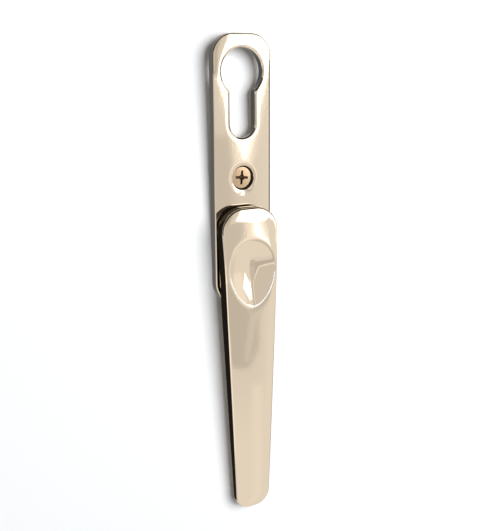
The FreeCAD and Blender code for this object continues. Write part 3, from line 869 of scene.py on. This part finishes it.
class Sky:
    """World light: soft studio panels as masks over azimuth and elevation in degrees."""

    def __init__(self):
        world = bpy.data.worlds.new("studio")
        bpy.context.scene.world = world
        world.use_nodes = True
        self.nodes, self.links = world.node_tree.nodes, world.node_tree.links
        self.nodes.clear()
        look = self.nodes.new("ShaderNodeSeparateXYZ")
        self.links.new(self.nodes.new("ShaderNodeTexCoord").outputs["Generated"], look.inputs[0])
        x, y, z = look.outputs
        degrees = 180 / math.pi
        self.azimuth = self.math("MULTIPLY", self.math("ARCTAN2", x, self.math("MULTIPLY", y, -1)),
                                 degrees)
        self.elevation = self.math("MULTIPLY", self.math("ARCSINE", z), degrees)
        self.colour = None

    def math(self, operation, *values):
        node = self.nodes.new("ShaderNodeMath")
        node.operation = operation
        for i, value in enumerate(values):
            if isinstance(value, (int, float)):
                node.inputs[i].default_value = value
            else:
                self.links.new(value, node.inputs[i])
        return node.outputs[0]

    def smooth(self, value, start, end):
        node = self.nodes.new("ShaderNodeMapRange")
        node.interpolation_type = "SMOOTHSTEP"
        self.links.new(value, node.inputs["Value"])
        node.inputs["From Min"].default_value = start
        node.inputs["From Max"].default_value = end
        return node.outputs["Result"]

    def beside(self, a, b, soft):
        """1 on the left of the line from a to b, fading over soft degrees."""
        dx, dz = b[0] - a[0], b[1] - a[1]
        length = math.hypot(dx, dz)
        nx, nz = -dz / length, dx / length
        across = self.math("ADD", self.math("MULTIPLY", self.azimuth, nx),
                           self.math("MULTIPLY", self.elevation, nz))
        level = a[0] * nx + a[1] * nz
        return self.smooth(across, level - soft, level + soft)

    def polygon(self, corners, soft):
        """A convex panel, its corners given anticlockwise as (azimuth, elevation)."""
        mask = None
        for a, b in zip(corners, corners[1:] + corners[:1]):
            side = self.beside(a, b, soft)
            mask = side if mask is None else self.math("MULTIPLY", mask, side)
        return mask

    def disc(self, azimuth, elevation, radius, soft):
        """A round panel, its radius and the softness of its edge in degrees."""
        node = self.nodes.new("ShaderNodeVectorMath")
        node.operation = "DOT_PRODUCT"
        self.links.new(self.nodes.new("ShaderNodeTexCoord").outputs["Generated"], node.inputs[0])
        node.inputs[1].default_value = direction(azimuth, elevation)
        return self.smooth(node.outputs["Value"], math.cos(math.radians(radius + soft)),
                           math.cos(math.radians(max(radius - soft, 0))))

    def paint(self, brightness, mask=None):
        """Mixes a neutral brightness over what is there already."""
        mix = self.nodes.new("ShaderNodeMix")
        if self.colour is None:
            mix.inputs["Factor"].default_value = 1.0
        else:
            self.links.new(self.colour, mix.inputs["A"])
            self.links.new(mask, mix.inputs["Factor"])
        mix.inputs["B"].default_value = brightness
        self.colour = mix.outputs["Result"]

    def finish(self, camera_brightness, diffuse_colour):
        """Camera rays see a plain pale sky, diffuse rays an even one, and gloss sees the panels."""
        path = self.nodes.new("ShaderNodeLightPath")
        glossy = self.nodes.new("ShaderNodeMix")
        glossy.data_type = "RGBA"
        self.links.new(path.outputs["Is Glossy Ray"], glossy.inputs["Factor"])
        glossy.inputs["A"].default_value = (*diffuse_colour, 1)
        self.links.new(self.colour, glossy.inputs["B"])
        seen = self.nodes.new("ShaderNodeMix")
        seen.data_type = "RGBA"
        self.links.new(path.outputs["Is Camera Ray"], seen.inputs["Factor"])
        self.links.new(glossy.outputs["Result"], seen.inputs["A"])
        seen.inputs["B"].default_value = (camera_brightness,) * 3 + (1,)
        plain = self.nodes.new("ShaderNodeBackground")
        self.links.new(seen.outputs["Result"], plain.inputs["Color"])
        out = self.nodes.new("ShaderNodeOutputWorld")
        self.links.new(plain.outputs[0], out.inputs["Surface"])


SKY_BASE = 0.72

# The panels in the order that they are painted, each over those before it: its brightness, its
# corners as (azimuth, elevation) anticlockwise, and how soft its edges are, all in degrees.
PANELS = (
    # wide light below the horizon
    (0.79, box(-20, 72, -75, -24), 3),
    # a darker panel straight ahead of the handle, with two slanting lighter ones inside it
    (0.52, [(26, 16), (-24, 16), (-24, -21), (26, -19)], 1.0),
    (0.86, [(23.5, 16), (-20, 16), (-20, -18.3), (11, -14), (23.5, -4)], 0.7),
    (0.63, [(22, 16), (-24, 16), (-24, -16.7), (10, -12.4), (22, -3.5)], 0.7),
    # dark ceiling, and a dark left side with light low on it
    (0.05, box(-90, 62, 11.5, 80), 2),
    (0.04, box(-80, -22, -7, 30), 3),
    (0.70, box(-80, -22, -60, -11.5), 1),
    (1.05, box(-80, -42, -24, -14), 3),
    (0.50, box(-80, -42, -60, -36), 3),
    (1.25, box(-41, -24, -30, -11.5), 1),
    # right side, with a lighter patch and the narrow shades at its near edge
    (0.79, box(31.2, 66, -40, 9), 1.0),
    (0.55, [(20, -21.4), (30.0, -21.4), (30.8, -20.0), (30.8, -15), (20, -11)], 0.25),
    (0.66, [(29.7, -20.9), (30.0, -20.9), (30.8, -17.2), (30.5, -15.5)], 0.1),
    (0.60, box(20, 29.4, -14, -5), 0.5),
    (0.83, box(30.3, 31.0, -36, -22.5), 0.3),
    (0.90, box(48, 66, -10, 9), 3),
    (0.96, [(29.0, -2), (29.6, -8.2), (30.7, -8.2), (31.2, -5), (31.9, -2)], 0.3),
    # far left, then far right and behind, with a lighter band and a dark edge
    (0.36, box(-150, -80, -60, 60), 6),
    (0.50, box(84, 170, -70, 60), 2),
    (0.95, box(84, 170, -18, -4), 4),
    (0.15, box(75, 84, -34, 10), 1.5),
    # bright lamps on the right, near the horizon
    (2.0, box(28.3, 34, -0.6, 7), 0.3),
    (2.0, [(33.0, -3.5), (41, -9.5), (50, -2), (40, 6.5), (33.0, 3.5)], 0.6),
    (2.0, [(28.3, -0.4), (29.0, -3.4), (30.3, -7.1), (30.8, -5.0), (32.1, -0.4)], 0.12),
)
DARK_DISC = {"azimuth": -160, "elevation": 0, "radius": 45, "soft": 5}
DARK_DISC_SHADE = 0.012
BACKGROUND_SHADE = 1.0
DIFFUSE_LIGHT = (0.135, 0.15, 0.168)


def light_world():
    sky = Sky()
    sky.paint(SKY_BASE)
    for brightness, corners, soft in PANELS:
        sky.paint(brightness, sky.polygon(corners, soft))
    sky.paint(DARK_DISC_SHADE, sky.disc(**DARK_DISC))
    sky.finish(BACKGROUND_SHADE, DIFFUSE_LIGHT)


def area_light(name, azimuth, elevation, distance, size, power, target=(0, 0, -0.02)):
    """A round soft light in metres and watts. Gloss doesn't see it, because it sees the panels."""
    data = bpy.data.lights.new(name, "AREA")
    data.shape = "DISK"
    data.size = size
    data.energy = power
    light = bpy.data.objects.new(name, data)
    bpy.context.scene.collection.objects.link(light)
    out = direction(azimuth, elevation)
    light.location = Vector(target) + out * distance
    light.rotation_mode = "QUATERNION"
    light.rotation_quaternion = out.to_track_quat("Z", "Y")
    light.visible_glossy = False
    light.visible_camera = False
    return light


def flat_quad(name, corners):
    """One large face of the stage."""
    mesh = bpy.data.meshes.new(name)
    mesh.from_pydata([Vector(c) for c in corners], [], [(0, 1, 2, 3)])
    piece = add_object(name, mesh)
    return piece


def one_sided_paint():
    """Matt white that is clear from behind, so that the backdrop never hides the handle's back."""
    paint = bpy.data.materials.new("backdrop")
    paint.use_nodes = True
    nodes, links = paint.node_tree.nodes, paint.node_tree.links
    nodes.clear()
    matt = nodes.new("ShaderNodeBsdfDiffuse")
    matt.inputs["Color"].default_value = (0.9, 0.9, 0.9, 1)
    clear = nodes.new("ShaderNodeBsdfTransparent")
    sides = nodes.new("ShaderNodeMixShader")
    links.new(nodes.new("ShaderNodeNewGeometry").outputs["Backfacing"], sides.inputs[0])
    links.new(matt.outputs[0], sides.inputs[1])
    links.new(clear.outputs[0], sides.inputs[2])
    links.new(sides.outputs[0], nodes.new("ShaderNodeOutputMaterial").inputs["Surface"])
    return paint


def make_stage():
    """Pale floor below the handle, and a leaning backdrop just behind the plate."""
    side, floor_z = STAGE_HALF, LEVER_TIP * MM - FLOOR_DROP
    floor = flat_quad("floor", [(-side, -side, floor_z), (side, -side, floor_z),
                                (side, side, floor_z), (-side, side, floor_z)])
    pale = material("pale_floor", (0.86, 0.86, 0.85), 0.0, 0.8, tint=0.01, tint_scale=8)
    shader = pale.node_tree.nodes["Principled BSDF"]
    shader.inputs["Emission Color"].default_value = (1, 1, 1, 1)
    shader.inputs["Emission Strength"].default_value = FLOOR_GLOW
    floor.data.materials.append(pale)
    foot_y = WALL_GAP_MM * MM + WALL_LEAN * floor_z
    top_y = WALL_GAP_MM * MM + WALL_LEAN * BACKDROP_TOP
    wall = flat_quad("backdrop", [(-side, foot_y, floor_z), (side, foot_y, floor_z),
                                  (side, top_y, BACKDROP_TOP), (-side, top_y, BACKDROP_TOP)])
    wall.data.materials.append(one_sided_paint())
    for surface in (floor, wall):
        surface.visible_glossy = False
        surface.visible_diffuse = False
    wall.visible_shadow = False


def make_camera():
    """Looks at the middle of the whole length, turned slightly about its own axis."""
    roll = math.radians(CAMERA_ROLL)
    back = direction(CAMERA_AZIMUTH, CAMERA_ELEVATION)
    right = Vector((-back.y, back.x, 0)).normalized()
    up = back.cross(right)
    turned_right = right * math.cos(roll) + up * math.sin(roll)
    turned_up = up * math.cos(roll) - right * math.sin(roll)
    data = bpy.data.cameras.new("camera")
    data.lens = CAMERA_LENS
    data.sensor_width = 36.0
    data.clip_start = 0.01
    camera = bpy.data.objects.new("camera", data)
    bpy.context.scene.collection.objects.link(camera)
    place = Vector(CAMERA_TARGET_MM) * MM + back * CAMERA_DISTANCE
    axes = Matrix((turned_right, turned_up, back)).transposed().to_4x4()
    camera.matrix_world = Matrix.Translation(place) @ axes
    bpy.context.scene.camera = camera


# ---------------------------------------------------------------- assembly

bpy.context.scene.view_settings.view_transform = "Standard"

LOOKS = {
    "polished_gold": dict(colour=(0.97, 0.81, 0.62), metallic=1.0, roughness=0.035, rough_spread=0.012,
                          rough_scale=90.0, bump=0.02, bump_scale=900),
    "satin_gold": dict(colour=(0.80, 0.74, 0.66), metallic=0.5, roughness=0.6, rough_spread=0.06,
                       rough_scale=90.0, bump=0.05, bump_scale=1500),
    # painted shade: neutral grey in place of the plate's gold, so the cut-out's wall reads as the grey
    # shade in the hole
    "grey_shade_wall": dict(colour=(0.62, 0.61, 0.59), metallic=0.6, roughness=0.5, rough_spread=0.06,
                      rough_scale=90.0, bump=0.05, bump_scale=1500),
    # painted highlight: a near-white, barely metallic line along the dimple's lower rim
    "painted_rim_highlight": dict(colour=(0.98, 0.96, 0.94), metallic=0.15, roughness=0.5, rough_spread=0.05,
                        rough_scale=90.0, bump=0.02, bump_scale=900),
    # painted shade: a near-black back behind the hub, which darkens the gap between lever and plate
    "painted_back_shade": dict(colour=(0.10, 0.10, 0.10), metallic=0.4, roughness=0.6, rough_spread=0.06,
                         rough_scale=90.0, bump=0.1, bump_scale=900),
    # painted shade: near-black seats round the screw heads, which darken their recesses
    "painted_seat_shade": dict(colour=(0.05, 0.042, 0.035), metallic=0.5, roughness=0.5, rough_spread=0.06,
                      rough_scale=200.0, bump=0.05, bump_scale=1500),
    "brass_screw": dict(colour=(0.82, 0.59, 0.37), metallic=1.0, roughness=0.22, rough_spread=0.06,
                        rough_scale=300.0, bump=0.1, bump_scale=3000),
    # painted shade: dark brown inside the screws' cross recesses
    "painted_cross_shade": dict(colour=(0.13, 0.075, 0.04), metallic=0.7, roughness=0.4, rough_spread=0.08,
                       rough_scale=500.0, bump=0.1, bump_scale=2000),
    "zinc_steel": dict(colour=(0.62, 0.62, 0.60), metallic=1.0, roughness=0.3, rough_spread=0.08,
                       rough_scale=200.0, tint=0.08),
    "spring_steel": dict(colour=(0.42, 0.42, 0.43), metallic=1.0, roughness=0.3, rough_spread=0.08,
                         rough_scale=200.0),
    "nylon": dict(colour=(0.80, 0.79, 0.74), metallic=0.0, roughness=0.5, rough_spread=0.08,
                  rough_scale=200.0, tint=0.03),
}
finishes = {name: material(name, **look) for name, look in LOOKS.items()}

plate_face, plate_edge, cutout_wall, screw_seats = make_plate()
plate_rear = copy_of_node("backplate", "backplate_rear", plate_rear_face)
lever = make_lever()
finish_lever(lever)
hub = copy_of_node("lever", "lever_hub", hub_face)
# The screw seats get a near-black painted shade.
for piece, finish in ((plate_face, "polished_gold"), (plate_edge, "satin_gold"),
                      # The cut-out's wall gets neutral grey in place of gold, as a painted shade tone.
                      (cutout_wall, "grey_shade_wall"), (screw_seats, "painted_seat_shade"),
                      (plate_rear, "polished_gold"), (hub, "polished_gold")):
    piece.data.materials.append(finishes[finish])
for piece, body, node in ((plate_face, "plate", "backplate"), (plate_edge, "plate", "backplate"),
                          (cutout_wall, "plate", "backplate"), (screw_seats, "plate", "backplate"),
                          (plate_rear, "plate", "backplate"), (lever, "lever", "lever"),
                          (hub, "lever", "lever")):
    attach(piece, body)
    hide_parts(node)

CAD_FINISHES = {"spindle": "zinc_steel", "spindle_pin": "spring_steel", "pivot_bush": "nylon",
                "thrust_washer": "nylon", "click_spring_left": "spring_steel",
                "click_spring_right": "spring_steel", "spring_cover": "zinc_steel",
                "wave_washer": "spring_steel", "keeper_washer": "zinc_steel"}
for node, finish in CAD_FINISHES.items():
    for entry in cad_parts[node].material_slots:
        entry.material = finishes[finish]

for node, centre_z in zip(("fixing_screw_upper", "fixing_screw_lower"), SCREW_CENTRES):
    screw = make_screw(node + "_cross_head", centre_z)
    finish_screw(screw, centre_z)
    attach(screw, "plate")
    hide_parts(node)

light_world()
make_stage()
area_light("key_light", 18, 12, distance=1.0, size=1.1, power=16)
area_light("rear_light", 160, 30, distance=1.0, size=0.6, power=6)
make_camera()
